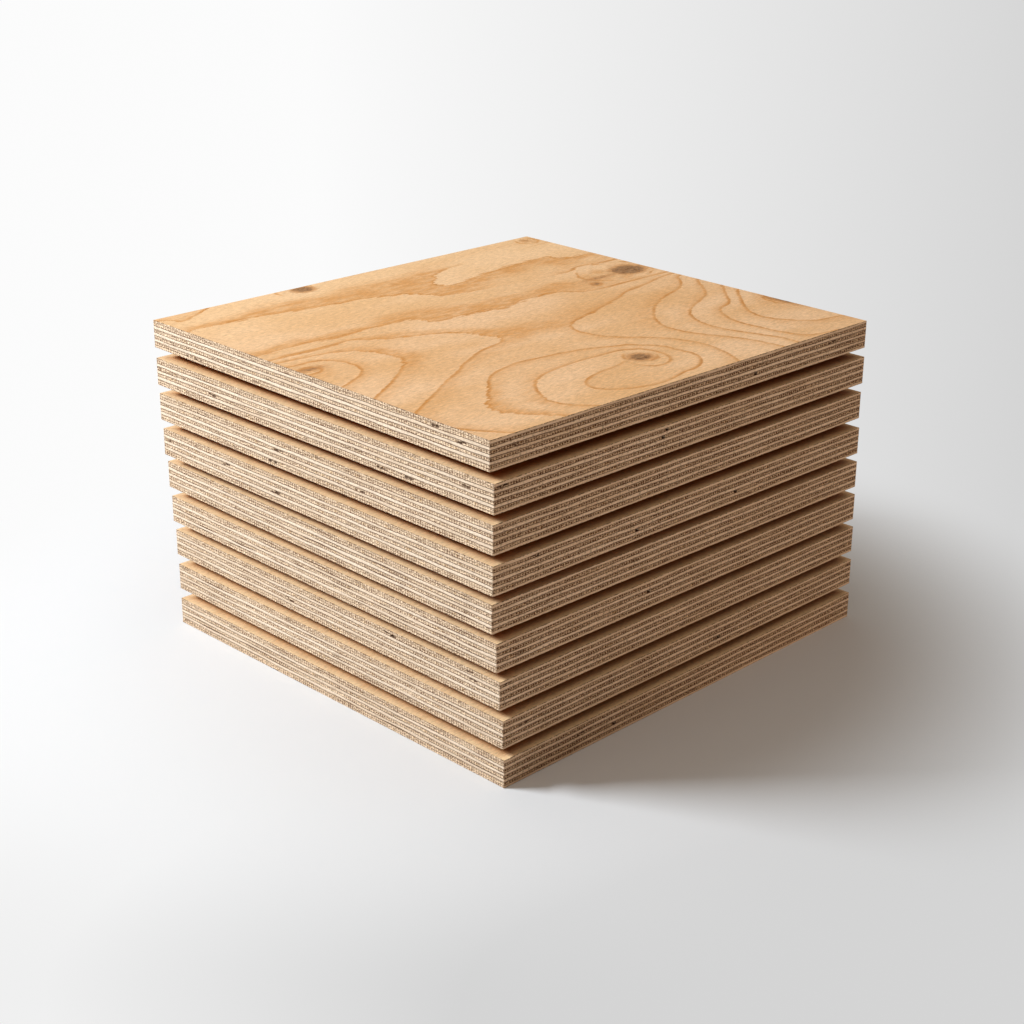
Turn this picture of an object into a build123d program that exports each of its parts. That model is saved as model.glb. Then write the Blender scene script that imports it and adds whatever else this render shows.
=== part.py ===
"""Nine plywood sheets in a loose stack, held a little apart by spacer battens well inside their edges.

A sheet is pressed from nine veneers. The face, the back and the long plies have their grain along Y. The cross
plies between them have their grain along X. They are laid from strips of lower grade, and where two strips
don't meet, a core gap runs through the sheet along X and shows on its sawn edges.
"""

import os

from build123d import *

# Sheet outline, in millimetres: X is across the face grain and Y is along it
sheet_width = 310.0
sheet_length = 333.0

# Veneers: the face and the back are sanded, so they are thinner than the plies of the core
face_thickness = 1.65
ply_thickness = 2.1
core_ply_count = 7
core_gap = 2.5

# Each core gap: sheet from the top, ply from its face (2, 4, 6 and 8 are cross plies), distance along Y from
# the sheet's middle
core_gaps = [
    (1, 6, 55.0),
    (2, 2, -27.0),
    (2, 4, -30.0),
    (4, 6, -50.0),
    (4, 6, 40.0),
    (6, 4, -40.0),
    (8, 6, 25.0),
    (9, 6, -73.0),
]

# How each sheet lies, from the top one down: its shift along X and Y, and its turn in degrees
sheet_lies = [
    (2.0, -5.5, -0.3),
    (2.5, -5.0, 0.1),
    (1.0, -3.5, 0.0),
    (1.0, -2.5, -0.2),
    (-1.0, 0.5, -0.5),
    (-1.5, 2.5, -0.1),
    (-2.0, 4.5, 0.1),
    (-1.5, 5.0, 0.4),
    (-0.5, 4.5, 0.5),
]

# Spacer battens: two in each gap, laid across the face grain on the sheet below
batten_thickness = 6.5
batten_width = 22.0
batten_from_sides = 40.0
batten_from_ends = 45.0

sheet_count = len(sheet_lies)
sheet_thickness = 2 * face_thickness + core_ply_count * ply_thickness
sheet_pitch = sheet_thickness + batten_thickness
batten_length = sheet_width - 2 * batten_from_sides


def veneer(thickness, gap_places):
    """The solids of one veneer on the ground plane, with a gap across it at each place along Y."""
    outline = Rectangle(sheet_width, sheet_length)
    for place in gap_places:
        outline -= Pos(0, place) * Rectangle(sheet_width, core_gap)
    return extrude(outline, thickness).solids()


def sheet_veneers(sheet):
    """The solids of one sheet's veneers by kind, with the sheet's underside on the ground plane."""
    core = ["cross_plies" if place % 2 == 0 else "long_plies" for place in range(core_ply_count)]
    kinds = ["face_veneer", *core, "back_veneer"]
    veneers = {kind: [] for kind in kinds}
    height = sheet_thickness
    for ply, kind in enumerate(kinds, start=1):
        thickness = ply_thickness if kind in core else face_thickness
        gap_places = [place for gap_sheet, gap_ply, place in core_gaps if (gap_sheet, gap_ply) == (sheet, ply)]
        height -= thickness
        veneers[kind] += [Pos(0, 0, height) * solid for solid in veneer(thickness, gap_places)]
    return veneers


def battens():
    """Two battens on the ground plane, set in from the sides and the ends of the sheet below."""
    reach = sheet_length / 2 - batten_from_ends - batten_width / 2
    batten = extrude(Rectangle(batten_length, batten_width), batten_thickness)
    return [Pos(0, place) * batten for place in (-reach, reach)]


def lie(sheet):
    """Where a sheet's underside lies in the stack."""
    shift_x, shift_y, turn = sheet_lies[sheet - 1]
    return Pos(shift_x, shift_y, (sheet_count - sheet) * sheet_pitch) * Rot(0, 0, turn)


def stack():
    """The solids of each named piece of the stack, with the bottom sheet on the ground plane."""
    pieces = {}
    for sheet in range(1, sheet_count + 1):
        for kind, solids in sheet_veneers(sheet).items():
            pieces[f"sheet_{sheet}_{kind}"] = [lie(sheet) * solid for solid in solids]
    for sheet in range(2, sheet_count + 1):
        on_sheet = lie(sheet) * Pos(0, 0, sheet_thickness)
        pieces[f"battens_on_sheet_{sheet}"] = [on_sheet * solid for solid in battens()]
    return pieces


def write(pieces):
    """Write each piece, with the middle of the whole stack's footprint at the origin."""
    os.makedirs("parts", exist_ok=True)
    footprint = Compound([solid for solids in pieces.values() for solid in solids]).bounding_box()
    centre = footprint.center()
    to_origin = Pos(-centre.X, -centre.Y, -footprint.min.Z)
    for name, solids in pieces.items():
        export_step(Compound([to_origin * solid for solid in solids]), f"parts/{name}.step")


write(stack())
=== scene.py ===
"""Looks of a loose stack of nine plywood sheets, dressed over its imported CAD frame.

Every ply is a closed slab of its own, with wavy glue lines, sawn edges and pockets in its core. The face of a
sheet carries growth rings: a smooth field of ring numbers, whose whole numbers the shader draws as latewood.
Lengths are in millimetres, in the axes of the sheet they belong to, until a mesh is built in metres.
"""

import math

import bpy
import numpy as np
from mathutils import Matrix, Vector


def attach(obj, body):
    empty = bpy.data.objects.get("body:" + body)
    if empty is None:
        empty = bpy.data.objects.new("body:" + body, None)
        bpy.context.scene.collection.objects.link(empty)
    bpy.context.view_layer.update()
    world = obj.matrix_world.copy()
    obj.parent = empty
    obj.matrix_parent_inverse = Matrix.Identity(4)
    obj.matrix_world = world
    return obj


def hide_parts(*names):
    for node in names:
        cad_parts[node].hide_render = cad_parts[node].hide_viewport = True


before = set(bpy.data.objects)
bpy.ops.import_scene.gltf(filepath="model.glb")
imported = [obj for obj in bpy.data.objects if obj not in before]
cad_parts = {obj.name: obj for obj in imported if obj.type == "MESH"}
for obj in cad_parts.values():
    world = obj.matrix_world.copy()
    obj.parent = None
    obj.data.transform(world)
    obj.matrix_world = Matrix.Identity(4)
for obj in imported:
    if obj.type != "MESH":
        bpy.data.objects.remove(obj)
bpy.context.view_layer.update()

metres = 0.001
sheet_count = sum(name.endswith("_face_veneer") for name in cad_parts)

# Sides of a sheet in the order its columns run round it: near is -Y and right is +X
NEAR, RIGHT, FAR, LEFT = range(4)
inward_of_side = np.array([(0.0, 1.0), (-1.0, 0.0), (0.0, -1.0), (1.0, 0.0)])

# Slots of a veneer's materials and of a core's
OUTER, EDGE = range(2)
LONG_PLY, CROSS_PLY, INSIDE = range(3)

# How close two heights, or a point and a side, are when they are the same
same_height = 0.05
same_side = 0.2

# Sawn edges: columns of points along them, and rows up each ply
column_spacing = 3.0
pocket_column_spacing = 0.8
hidden_column_spacing = 60.0
corner_column = 0.4
clear_of_corner = 1.2
closest_columns = 0.2
mouth_columns = np.array([2, 4, 8])
long_ply_rows = (0.0, 0.1, 0.9, 1.0)
cross_ply_rows = (0.0, 0.1, 0.3, 0.5, 0.7, 0.9, 1.0)
veneer_rows = (0.0, 0.12, 0.82)
ply_clearance = 0.01
glue_wave_height = 0.2
glue_groove = 0.12
corner_rounding = 0.25
arris = 0.3
cap_inset = 4.0
saw_roughness = 0.03
cross_ply_roughness = 0.09
cross_ply_set_back = 0.05

# Battens
batten_column_spacing = 6.0
batten_rows = (0.0, 0.06, 0.35, 0.65, 0.94, 1.0)
batten_arris = 0.35
batten_corner_rounding = 0.3
batten_roughness = 0.06

# Bake maps, as shares of their width and height: where the parts of a piece lie on its map
map_margin = 0.004
core_strips_top = 0.96
core_caps_bottom = 0.965
core_cap_size = 0.03
face_on_map = np.array([0.992, 0.92])
veneer_strips = (0.93, 0.015)
veneer_cap = np.array([0.97, 0.994])
veneer_cap_size = 0.005
batten_pitch_on_map = 0.4
batten_strip = 0.1
batten_caps_bottom = 0.82
batten_cap_size = 0.16
batten_cap_pitch = 0.18

# Grids of the faces: the top one is fine enough to carry its figure
top_grid_spacing = 1.4
hidden_grid_spacing = 6.0
hidden_rim_spacing = 2.0

# Painted shade between two sheets: how far from a sheet's rim its face starts and stops to darken, where the
# sheet above shades it
gap_shade_from = 1.5
gap_shade_to = 10.0

# Pockets where a strip of the core is torn or short, by side: sheet, ply, place along the side as a share of
# it from its -X or -Y end, length and depth
pockets = {
    NEAR: [
        (1, 2, 0.86, 5, 2), (1, 4, 0.93, 4, 2), (1, 6, 0.07, 42, 0.5), (1, 6, 0.235, 28, 0.5),
        (1, 8, 0.14, 17, 1), (2, 4, 0.05, 30, 0.5), (2, 6, 0.19, 5, 2), (2, 6, 0.635, 28, 0.7),
        (2, 8, 0.7, 5, 2), (2, 8, 0.78, 5, 2), (2, 4, 0.93, 5, 2), (3, 4, 0.4, 5, 2), (3, 8, 0.38, 8, 3),
        (3, 6, 0.64, 6, 2), (4, 4, 0.03, 5, 2), (4, 4, 0.22, 5, 2), (4, 6, 0.38, 6, 2),
        (5, 4, 0.135, 22, 1), (5, 4, 0.26, 5, 2), (5, 4, 0.46, 25, 1), (5, 6, 0.72, 5, 2),
        (6, 4, 0.395, 56, 0.6), (7, 2, 0.7, 6, 3), (7, 2, 0.92, 4, 2), (7, 4, 0.93, 4, 2),
        (7, 6, 0.39, 6, 2), (8, 6, 0.06, 6, 2), (8, 6, 0.26, 6, 2), (8, 8, 0.41, 3, 2), (8, 6, 0.93, 5, 2),
        (9, 2, 0.42, 5, 2), (9, 4, 0.26, 5, 2), (9, 6, 0.66, 6, 2), (9, 6, 0.86, 5, 2),
    ],
    RIGHT: [
        (1, 4, 0.06, 26, 0.6), (1, 6, 0.62, 30, 0.6), (1, 4, 0.89, 5, 2), (2, 2, 0.02, 6, 2),
        (4, 2, 0.1, 5, 2), (5, 6, 0.6, 9, 0.5), (7, 2, 0.02, 4, 2), (7, 6, 0.185, 43, 0.6),
        (8, 4, 0.05, 6, 2), (9, 4, 0.19, 5, 2),
    ],
}
pockets_on_unseen_side = 4
unseen_pocket_chance = 0.25
unseen_pocket_reach = 0.45
unseen_pockets = [(4, 2.0), (6, 2.0), (8, 2.0), (30, 0.6)]

# Hollows side by side in a pocket: their spacing and half length, and their middle, half height and depth as
# shares of the ply's thickness and the pocket's depth
hollow_spacing = 3.5
hollow_stray = 0.1
hollows_between = 0.36
hollow_reach = (1.0, 2.4)
hollow_middle = (0.25, 0.75)
hollow_rise = (0.22, 0.45)
hollow_depth = (0.15, 0.4)
# The pocket depth at which its painted shade is full
full_hollow = 0.6

# Latewood lines on the top sheet's face: the ring's number, and points from the middle of the face. A number
# with a fraction runs between two lines.
face_rings = [
    (7, [(52, 163), (79, 137), (99, 126), (116, 130), (132, 144), (135, 160)]),
    (6, [(39, 164), (54, 149), (68, 136), (72, 121), (85, 110), (99, 105), (116, 105), (147, 112),
        (154, 137)]),
    (5, [(17, 163), (31, 152), (44, 139), (54, 118), (63, 101), (76, 90), (93, 85), (110, 87), (144, 98),
        (154, 97)]),
    (4, [(-1, 163), (11, 152), (21, 139), (27, 121), (35, 101), (46, 85), (59, 72), (73, 63), (85, 62),
        (99, 65), (127, 78), (154, 83)]),
    (3, [(-8, 165), (-6, 147), (-1, 127), (3, 105), (11, 87), (22, 53), (27, 33), (34, 20), (46, 14),
        (59, 16), (70, 22), (83, 35), (93, 43), (106, 49), (120, 51), (138, 47), (154, 40)]),
    (2, [(154, -109), (135, -125), (124, -131), (113, -128), (96, -112), (76, -92), (69, -74), (67, -58),
        (70, -35), (73, -18), (79, -2), (86, 9), (92, 19), (101, 27), (112, 29), (126, 31), (136, 26),
        (143, 18), (146, 10), (146, 0), (149, -10), (151, -20), (151, -30), (148, -42), (144, -52),
        (138, -59), (131, -63), (124, -61), (118, -55), (114, -45), (112, -35), (111, -22), (107, -11)]),
    (2, [(154, -82), (142, -94), (127, -96), (113, -89), (100, -77), (93, -60), (91, -45), (90, -29),
        (91, -10), (92, 5), (97, 14), (106, 18), (116, 17), (124, 12), (128, 3), (127, -5), (119, -10),
        (107, -11)]),
    (1.6, [(154, -96), (134, -111), (118, -110), (98, -97), (82, -78), (80, -40), (82, -10), (90, 13),
        (98, 21), (112, 24), (126, 23), (136, 12), (138, -8), (131, -25), (129, -45)]),
    (2.4, [(112, 6), (100, 2), (100, -20), (102, -48), (109, -67), (124, -78), (142, -76), (154, -58)]),
    (3, [(-35, -164), (-35, -136), (-34, -102), (-23, -87), (-15, -66), (-8, -51), (1, -42), (11, -37),
        (21, -33), (28, -35), (32, -45), (34, -58), (46, -84), (55, -97), (63, -113), (80, -141),
        (94, -165)]),
    (4, [(-28, -164), (-26, -142), (-20, -120), (-10, -111), (3, -106), (16, -107), (25, -114), (42, -136),
        (60, -165)]),
    (5, [(-16, -160), (-16, -146), (-11, -139), (-1, -135), (11, -136), (21, -143), (32, -165)]),
    (6, [(-8, -164), (-6, -154), (-3, -154), (-1, -162)]),
    (3, [(133, -165), (144, -158), (155, -149)]),
    (0, [(-155, -124), (-146, -140), (-134, -165)]),
    (2, [(-13, 165), (-14, 124), (-14, 101), (-17, 83), (-28, 69), (-29, 56), (-28, 36), (-23, 14),
        (-28, 7), (-28, -9), (-32, -40), (-42, -42), (-46, -50), (-46, -81), (-49, -165)]),
    (1, [(-62, 165), (-64, 147), (-65, 127), (-60, 112), (-62, 70), (-70, 20), (-73, 10), (-81, 2),
        (-92, -6), (-97, -16), (-101, -29), (-104, -45), (-108, -76), (-115, -107), (-117, -126),
        (-118, -165)]),
    (1, [(-88, 165), (-88, 147), (-92, 137), (-101, 136), (-102, 118), (-99, 88), (-95, 59), (-90, 36),
        (-90, 28), (-101, 23), (-108, 33), (-114, 38), (-122, 50), (-128, 90), (-130, 165)]),
]

# Ring numbers at places between the lines: number, x and y
face_ring_spots = [
    (8.0, 87, 166), (2.15, 155, -14), (2.15, 155, -36), (2.4, 155, 14), (6.4, -5, -162), (-0.2, -154, -164),
    (0.4, -140, -165), (0.4, -155, -100), (0.4, -155, -20), (0.45, -140, -60), (0.45, -138, -120),
    (0.5, -142, 10), (0.5, -152, 70), (0.6, -150, 150), (0.76, -125, 20), (0.78, -124, -20),
    (0.78, -124, -60), (0.78, -126, -110), (0.8, -127, -160), (0.94, -107, 0), (0.94, -108, -30),
    (0.93, -114, -61), (0.94, -121, -146), (0.9, -88, 14), (1.12, -112, 150), (1.15, -112, 100),
    (1.15, -108, 60), (0.93, -95, 118), (0.93, -93, 80), (0.78, -86, 118), (0.78, -85, 80), (0.82, -82, 50),
    (0.55, -74, 150), (0.55, -74, 110), (0.6, -72, 70), (1.3, -56, 40), (1.35, -70, -16), (1.3, -79, -61),
    (1.35, -85, -130), (1.4, -62, -80), (1.4, -70, -160), (1.68, -58, -16), (1.7, -60, -61),
    (1.68, -62, -125), (1.9, -52, -94), (1.92, -52, -140), (1.9, -37, 69), (1.9, -37, 4), (1.68, -46, 30),
    (1.75, -46, 85), (1.5, -45, 120), (1.3, -37, 150), (1.4, -23, 150), (2.25, -20, 43), (2.3, -14, -16),
    (2.4, -34, -61), (2.4, -39, -81), (2.4, -42, -126), (2.5, -8, 53), (2.55, 3, -16), (2.9, 14, -16),
    (2.85, 7, -29), (2.75, 17, 4), (2.5, 3, 23), (2.5, 42, -16), (2.4, 59, -16), (2.5, 48, -42),
    (2.45, 116, -152), (2.5, 130, -150), (3.2, 154, -165), (2.5, 54, 7),
]
ring_point_spacing = 8.0
ring_stiffness = 20.0
latewood_from = 0.7
least_squared_distance = 1e-9

# Where the rings fade out, and where they are stained darker than elsewhere, or paler for an amount below 0:
# x, y, reach along X and Y, amount
quiet_places = [(-132, 108, 12, 64, 1.0), (-60, 68, 12, 40, 1.0), (117, -11, 8, 5, 0.6)]
plain_stain = 0.42
stained_places = [
    (-110, -40, 30, 150, 0.7), (-92, 100, 16, 90, 0.7), (-45, -20, 24, 180, 0.7), (12, -14, 24, 30, 0.7),
    (8, -98, 34, 20, 0.5), (122, -118, 34, 22, 0.45), (25, 60, 14, 60, 0.3), (-85, 20, 20, 24, 0.7),
    (122, -14, 32, 52, -0.36),
]

# Knots of the top sheet: x, y, reach along X and Y, and the same four of the ring of bent grain round each
face_knots = [
    (109, 2, 6, 6.5, 108, 3, 10, 11), (-37, 150, 10, 13, -40, 140, 22, 31),
    (-149, -51, 6, 7, -149, -57, 9, 14),
    (-6, -159, 1.6, 4.5, -5, -160, 5, 7), (87, 166, 8, 2, 87, 166, 14, 8), (-146, 156, 1, 1, -145, 156, 9, 8),
    (-35, 119, 1.0, 5, -38, 118, 6, 8), (-25, 105, 1.5, 2, -25, 105, 4, 4),
]
far_from_knot = 50.0

# How far a face stands up: its earlywood, its unevenness, and its knots with the wood near them
earlywood_relief = 0.02
uneven_relief = 0.02
knot_relief = 0.08
knot_relief_reach = 3.0

# Painted sheen: the top face turns paler toward -X
sheen_from = -20.0
sheen_over = 120.0
sheen_most = 0.4

# Camera, from the photograph's viewing angle
camera_place = (0.8193, -0.8120, 0.5444)
camera_azimuth = math.radians(45.319)
camera_look_down = math.radians(21.915)
camera_roll = math.radians(0.458)
camera_lens = 65.63
camera_sensor = 36.0
camera_clip_end = 200.0

# Light: one wide, low lamp to the camera's left, and a warm fill from overhead and from the stack's right
key_target = Vector((0.0, 0.0, 0.1))
key_distance = 2.6
key_elevation = math.radians(31)
key_width = 1.0
key_height = 0.45
key_power = 96.0
key_colour = (0.93, 1.0, 1.07)
fill_colour = (1.0, 0.88, 0.76)
fill_level = 0.015
fill_overhead = 0.52
fill_right = 0.36
fill_right_toward = (0.57, 0.0, 0.82)

# Floor: its white from one side to the other, darker toward the right as painted falloff of the light from the
# left, and the light it throws back up at the stack's right
floor_size = 80
floor_white = 0.735
floor_painted_falloff = 0.04
floor_white_reach = 0.5
floor_roughness = 0.8
floor_specular = 0.1
floor_bounce = 0.34
floor_bounce_over = 0.2

# Backdrop: how far off the floor turns into it, its tone in the middle, and how much darker it grows toward the
# camera's right and in front of the stack, as painted shade where the lamp's light falls off. The slope fades
# out behind the camera.
backdrop_from = 0.22
backdrop_to = 0.43
backdrop_middle = 0.885
backdrop_slope = 0.78
backdrop_front = 0.25
front_from, front_to = -0.15, -0.42
slope_from, slope_to = -0.8, -0.5
nearest_row = 0.3
darkest_tone = 0.66
brightest_tone = 0.97
brightest_in_front = 0.4

# Horizon: the tone that the backdrop and the sky share, and how far off the backdrop takes it on
horizon_tone = 0.76
horizon_from = 6.0
horizon_to = 20.0


class Sheet:
    """One sheet as the frame gives it: its place, its turn, its size and the heights of its plies."""

    def __init__(self, number):
        self.number = number
        face = node_points(f"sheet_{number}_face_veneer")
        across = face @ (1, 1, 0)
        along = face @ (1, -1, 0)
        near_left = face[across.argmin()]
        far_right = face[across.argmax()]
        near_right = face[along.argmax()]
        width_line = (near_right - near_left)[:2]
        self.centre = (near_left + far_right)[:2] / 2
        self.turn = math.atan2(width_line[1], width_line[0])
        self.width = float(np.hypot(*width_line))
        self.length = float(np.hypot(*(far_right - near_right)[:2]))
        self.around = 2 * (self.width + self.length)
        self.cross_points = self.flat(node_points(f"sheet_{number}_cross_plies"))
        core_heights = distinct(self.cross_points[:, 2])[::-1]
        top = face[:, 2].max()
        bottom = node_points(f"sheet_{number}_back_veneer")[:, 2].min()
        self.heights = np.concatenate([[top], core_heights, [bottom]])
        self.ply_count = len(self.heights) - 1

    def flat(self, points):
        """Points of the frame in the sheet's own axes."""
        c, s = math.cos(self.turn), math.sin(self.turn)
        x, y = (points[:, :2] - self.centre).T
        return np.column_stack([c * x + s * y, c * y - s * x, points[:, 2]])

    def placed(self, points):
        """Points of the sheet's own axes in the frame, in metres."""
        c, s = math.cos(self.turn), math.sin(self.turn)
        x, y, z = points.T
        return np.column_stack([c * x - s * y + self.centre[0], s * x + c * y + self.centre[1], z]) * metres

    def strips(self, ply):
        """The stretches along Y that a ply is laid from: a cross ply with a core gap has more than one."""
        if ply % 2:
            return [(-self.length / 2, self.length / 2)]
        on_top = np.abs(self.cross_points[:, 2] - self.heights[ply - 1]) < same_height
        ends = distinct(self.cross_points[on_top, 1])
        return [tuple(pair) for pair in ends.reshape(-1, 2)]

    def place_around(self, x, y):
        """How far round the sheet's outline a point lies, and whether it is on the outline at all."""
        half_x, half_y = self.width / 2, self.length / 2
        on_side = [abs(off) < same_side for off in (y + half_y, x - half_x, y - half_y, x + half_x)]
        far_round = [
            x + half_x,
            self.width + y + half_y,
            self.width + self.length + half_x - x,
            2 * self.width + self.length + half_y - y,
        ]
        return np.select(on_side, far_round), np.any(on_side, axis=0)


def node_points(name):
    """The corners of a CAD node, in millimetres."""
    return np.array([vertex.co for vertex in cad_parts[name].data.vertices]) / metres


def add_object(name, data):
    """Puts an object with the data in the scene."""
    made = bpy.data.objects.new(name, data)
    bpy.context.scene.collection.objects.link(made)
    return made


def distinct(values, apart=0.5):
    """The values in order, with those closer together than apart counted once."""
    ordered = np.sort(values)
    return ordered[np.append(True, np.diff(ordered) > apart)]


def waves(places, whole, seed, cycles=(5, 36), count=6):
    """A smooth random wave of about unit height, which closes on itself after the whole distance."""
    random = np.random.default_rng(seed)
    total = np.zeros(np.shape(places))
    for turns, phase in zip(random.integers(*cycles, count), random.uniform(0, 2 * math.pi, count)):
        total = total + np.sin(2 * math.pi * turns * places / whole + phase)
    return total / math.sqrt(count)


def glue_wave(sheet, boundary, x, y):
    """How far the glue line under a ply strays up or down at points of the sheet's outline."""
    places, on_outline = sheet.place_around(x, y)
    return on_outline * glue_wave_height * waves(places, sheet.around, 1000 * sheet.number + boundary)


class Shell:
    """The mesh of a piece as it is gathered: points with values, and faces with a wood map and a bake map."""

    value_names = ("ring", "slope", "contrast", "stain", "knot", "knot_ring", "hollow", "pale", "gap_shade")

    def __init__(self, sheet):
        self.sheet = sheet
        self.points = []
        self.values = {name: [] for name in self.value_names}
        self.faces = []
        self.count = 0

    def add_points(self, points, **values):
        """Adds points and returns their numbers."""
        numbers = self.count + np.arange(len(points))
        self.points.append(np.asarray(points, float))
        for name, parts in self.values.items():
            parts.append(np.broadcast_to(np.asarray(values.get(name, 0.0), float), len(points)))
        self.count += len(points)
        return numbers

    def add_faces(self, corners, wood_map, bake_map, material):
        """Adds faces of equally many corners: their point numbers, and two maps for each corner."""
        self.faces.append((corners, wood_map, bake_map, material))

    def build(self, name, materials):
        """Makes the object, in the frame's place and in metres."""
        points = self.sheet.placed(np.concatenate(self.points))
        corners = [face for group in self.faces for face in group[0].tolist()]
        mesh = bpy.data.meshes.new(name)
        mesh.from_pydata(points.tolist(), [], corners)
        for material in materials:
            mesh.materials.append(material)
        slots = np.concatenate([np.full(len(group[0]), group[3]) for group in self.faces])
        mesh.polygons.foreach_set("material_index", slots.astype(np.int32))
        mesh.polygons.foreach_set("use_smooth", np.ones(len(slots), bool))
        for map_name, column in (("wood", 1), ("OFBake", 2)):
            flat = np.concatenate([group[column].reshape(-1) for group in self.faces])
            mesh.uv_layers.new(name=map_name).data.foreach_set("uv", flat.astype(np.float32))
        for value_name, parts in self.values.items():
            attribute = mesh.attributes.new(value_name, "FLOAT", "POINT")
            attribute.data.foreach_set("value", np.concatenate(parts).astype(np.float32))
        mesh.update()
        mesh.set_sharp_from_angle(angle=math.radians(30))
        return add_object(name, mesh)


def stations(start, end, spacing, extra=()):
    """Places from start to end about a spacing apart, with a rounding next to each end and the extra ones."""
    even = np.linspace(start, end, max(2, round(abs(end - start) / spacing) + 1))
    first, last = start + clear_of_corner, end - clear_of_corner
    inside = [place for place in np.concatenate([even, *extra]) if first < place < last]
    places = np.sort(np.array([start, start + corner_column, *inside, end - corner_column, end]))
    keep = np.append(True, np.diff(places) > closest_columns)
    keep[-1] = True
    return places[keep]


class Outline:
    """Columns round a rectangle, counter-clockwise from its near left corner."""

    def __init__(self, near, right, far, left):
        x0, x1, y0, y1 = near[0], near[-1], right[0], right[-1]
        runs = [
            np.column_stack([near[:-1], np.full(len(near) - 1, y0)]),
            np.column_stack([np.full(len(right) - 1, x1), right[:-1]]),
            np.column_stack([far[:0:-1], np.full(len(far) - 1, y1)]),
            np.column_stack([np.full(len(left) - 1, x0), left[:0:-1]]),
        ]
        self.places = np.concatenate(runs)
        self.side = np.repeat(range(4), [len(run) for run in runs])
        self.corner = np.append(True, np.diff(self.side) > 0)
        self.inward = inward_of_side[self.side] + self.corner[:, None] * inward_of_side[self.side - 1]
        self.low = np.array([x0, y0])
        self.high = np.array([x1, y1])

    def along(self):
        """For each column, its place along its side and that of the next column on the same side."""
        axis = self.side % 2
        here = np.take_along_axis(self.places, axis[:, None], 1)[:, 0]
        there = np.take_along_axis(np.roll(self.places, -1, axis=0), axis[:, None], 1)[:, 0]
        return here, there


def wood_offset(sheet, ply, side):
    """A shift along the wood map that gives every ply and side of the stack its own stretch of grain."""
    return 400.0 * (side + 4 * ply + 40 * sheet.number)


def add_ring(shell, outline, heights, depths, hollow=0.0):
    """Adds one ring of points: the outline pushed in by a depth, at a height for each column."""
    places = outline.places + outline.inward * depths[:, None]
    return shell.add_points(np.column_stack([places, heights]), hollow=hollow)


def sawn_depths(outline, random, roughness, set_back, rounding=corner_rounding):
    """How far in from the outline each column of a sawn side lies."""
    depths = set_back + roughness * random.uniform(0, 1, len(outline.places))
    depths[outline.corner] = rounding
    return depths


def quad_map(left, right, low, high):
    """A map of quads from the places of their left and right sides and the heights of the other two."""
    left, right, low, high = np.broadcast_arrays(left, right, low, high)
    return np.stack([(left, right, right, left), (low, low, high, high)], axis=-1).swapaxes(0, 1)


def add_walls(shell, outline, rings, shares, ply, strips, material):
    """Joins rings with quads. The shares say how far up the ply the rings are; strips place its bake map."""
    here, there = outline.along()
    offset = wood_offset(shell.sheet, ply, outline.side)
    half = np.where(outline.side % 2, shell.sheet.length, shell.sheet.width) / 2
    u_here, u_there = (0.5 + (0.5 - map_margin) * place / half for place in (here, there))
    next_of = np.roll(np.arange(len(here)), -1)
    start, height = strips
    for lower, upper, pair in zip(rings, rings[1:], zip(shares, shares[1:])):
        corners = np.stack([lower, lower[next_of], upper[next_of], upper], axis=1)
        v_low, v_high = (start + height * (outline.side + 0.1 + 0.8 * share) for share in pair)
        wood_map = quad_map(here + offset, there + offset, *pair)
        shell.add_faces(corners, wood_map, quad_map(u_here, u_there, v_low, v_high), material)


def add_cap(shell, outline, ring, height, faces_up, bake_corner, bake_size, material):
    """Closes a ring with a flat band and a fan, which lie against the next veneer or sheet."""
    middle = (outline.low + outline.high) / 2
    half = (outline.high - outline.low) / 2
    shrunk = middle + (outline.places - middle) * (1 - cap_inset / half)
    inner = shell.add_points(np.column_stack([shrunk, np.full(len(shrunk), height)]))
    centre = shell.add_points([(*middle, height)])
    numbers = np.concatenate([ring, inner, centre])
    flat = np.concatenate([outline.places, shrunk, [middle]])
    rim = np.arange(len(ring))
    next_of = np.roll(rim, -1)
    band = np.stack([rim, next_of, len(ring) + next_of, len(ring) + rim], axis=1)
    fan = np.stack([len(ring) + rim, len(ring) + next_of, np.full(len(ring), 2 * len(ring))], axis=1)
    for corners in (band, fan):
        if not faces_up:
            corners = corners[:, ::-1]
        share = (flat[corners] - outline.low) / (outline.high - outline.low)
        shell.add_faces(numbers[corners], flat[corners], bake_corner + bake_size * share, material)


def pocket_depths(outline, found, seed, share):
    """How deep each column lies in the pockets of its side, at a share of the ply's height.

    Each pocket is a few torn hollows side by side.
    """
    along, _ = outline.along()
    depths = np.zeros(len(along))
    for number, (side, place, length, depth) in enumerate(found):
        random = np.random.default_rng(seed + 17 * number)
        on_side = (outline.side == side) & ~outline.corner
        for middle in np.linspace(-hollows_between, hollows_between, max(2, round(length / hollow_spacing))):
            centre = place + length * (middle + random.uniform(-hollow_stray, hollow_stray))
            reach = random.uniform(*hollow_reach)
            height = random.uniform(*hollow_middle)
            rise = random.uniform(*hollow_rise)
            distance = np.hypot((along - centre) / reach, (share - height) / rise)
            hollow = depth * random.uniform(*hollow_depth) * np.clip(1.5 - 1.5 * distance**3, 0, 1)
            depths = np.maximum(depths, np.where(on_side, hollow, 0))
    return depths


def pockets_of(sheet, ply):
    """The pockets of one ply as side, place, length and depth. Those of the two unseen sides are random."""
    sizes = {NEAR: sheet.width, RIGHT: sheet.length, FAR: sheet.width, LEFT: sheet.length}
    found = [
        (side, (share - 0.5) * sizes[side], length, depth)
        for side, places in pockets.items()
        for number, pocket_ply, share, length, depth in places if (number, pocket_ply) == (sheet.number, ply)
    ]
    random = np.random.default_rng(10 * sheet.number + ply)
    for side in (FAR, LEFT):
        for _ in range(random.binomial(pockets_on_unseen_side, unseen_pocket_chance)):
            place = random.uniform(-unseen_pocket_reach, unseen_pocket_reach) * sizes[side]
            found.append((side, place, *random.choice(unseen_pockets)))
    return found


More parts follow.
